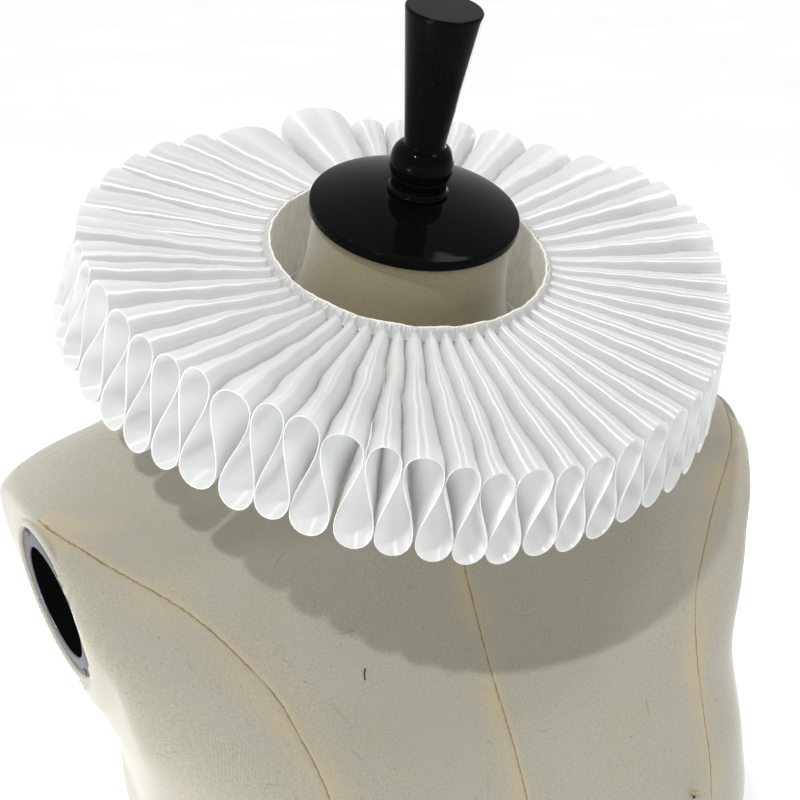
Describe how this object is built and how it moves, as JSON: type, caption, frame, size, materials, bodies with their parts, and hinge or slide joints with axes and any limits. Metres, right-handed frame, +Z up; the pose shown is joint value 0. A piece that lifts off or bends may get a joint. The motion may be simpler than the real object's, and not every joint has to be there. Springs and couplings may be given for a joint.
{
  "type": "ruff collar on dress form",
  "caption": "Figure-of-eight pleated satin ruff collar on a plain neckband, resting round the neck of a limbless linen dress form with a black neck cap and turned handle.",
  "frame": {"origin": "centre of the whole part's footprint, on the plane of the form's flat underside", "axes": "+Z up, the tallest extent; the form faces -Y; +X is the form's left"},
  "size_m": [0.4128, 0.3296, 0.7264],
  "materials": {
    "white_satin": "glossy woven satin ribbon",
    "white_band": "plain woven band",
    "beige_linen": "tight matt linen with slubs",
    "black_lacquer": "black gloss lacquer",
    "grey_steel": "dull pressed sheet",
    "black_plate": "matt black"
  },
  "bodies": {
    "root": {"ruffle": "white_satin", "neckband": "white_band", "form_torso": "beige_linen", "neck_cap": "black_lacquer", "handle": "black_lacquer", "arm_ring_left": "grey_steel", "arm_ring_right": "grey_steel", "arm_cover_left": "black_plate", "arm_cover_right": "black_plate"}
  },
  "joints": []
}
